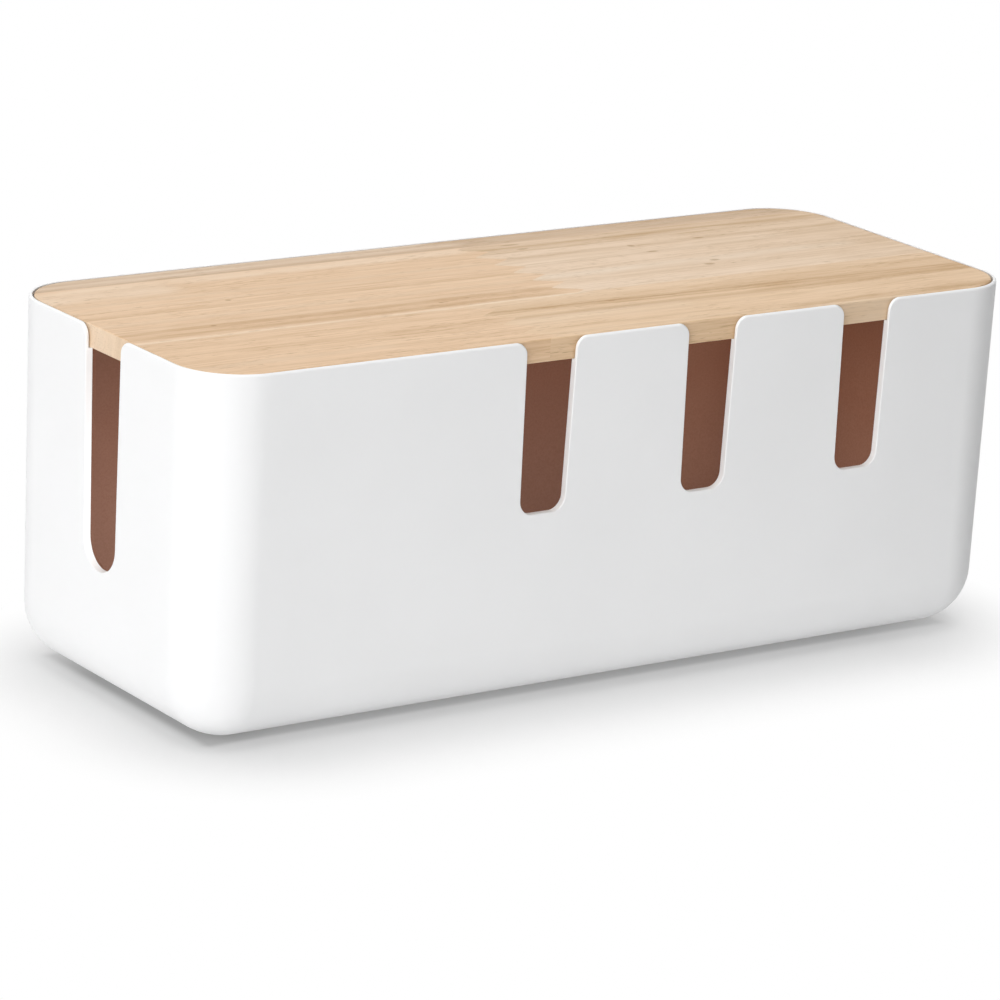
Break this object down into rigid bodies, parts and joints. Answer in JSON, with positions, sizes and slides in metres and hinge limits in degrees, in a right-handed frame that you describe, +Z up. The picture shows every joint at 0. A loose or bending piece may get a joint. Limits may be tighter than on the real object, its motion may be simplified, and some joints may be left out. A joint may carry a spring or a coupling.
{
  "type": "cable management box",
  "caption": "Moulded box with tapered cord slots in its front and left walls, a brown lining and a lift-off lid of glued wooden boards.",
  "frame": {"origin": "on the surface the box stands on, under the middle of the case", "axes": "+X along the case, away from the end with the slot, +Y towards the plain back wall, +Z up"},
  "size_m": [0.305, 0.1204, 0.1164],
  "materials": {
    "case_plastic": "satin white moulding",
    "lining_plastic": "matte brown",
    "wood_tan": "fine-grained tan wood under matt lacquer",
    "wood_pale": "fine-grained pale wood under matt lacquer",
    "wood_pink": "fine-grained pinkish wood under matt lacquer",
    "foot_rubber": "matte"
  },
  "bodies": {
    "tub": {"case": "case_plastic", "lining": "lining_plastic", "foot_front_left": "foot_rubber", "foot_front_right": "foot_rubber", "foot_back_left": "foot_rubber", "foot_back_right": "foot_rubber"},
    "lid": {"lid_front_left_board": "wood_tan", "lid_front_right_board": "wood_pale", "lid_middle_left_board": "wood_tan", "lid_middle_right_board": "wood_pale", "lid_back_board": "wood_pink"}
  },
  "joints": [
    {"name": "lid_lift", "type": "slide", "parent": "tub", "child": "lid", "axis": [0, 0, 1], "range_m": [0, 0.1]}
  ]
}
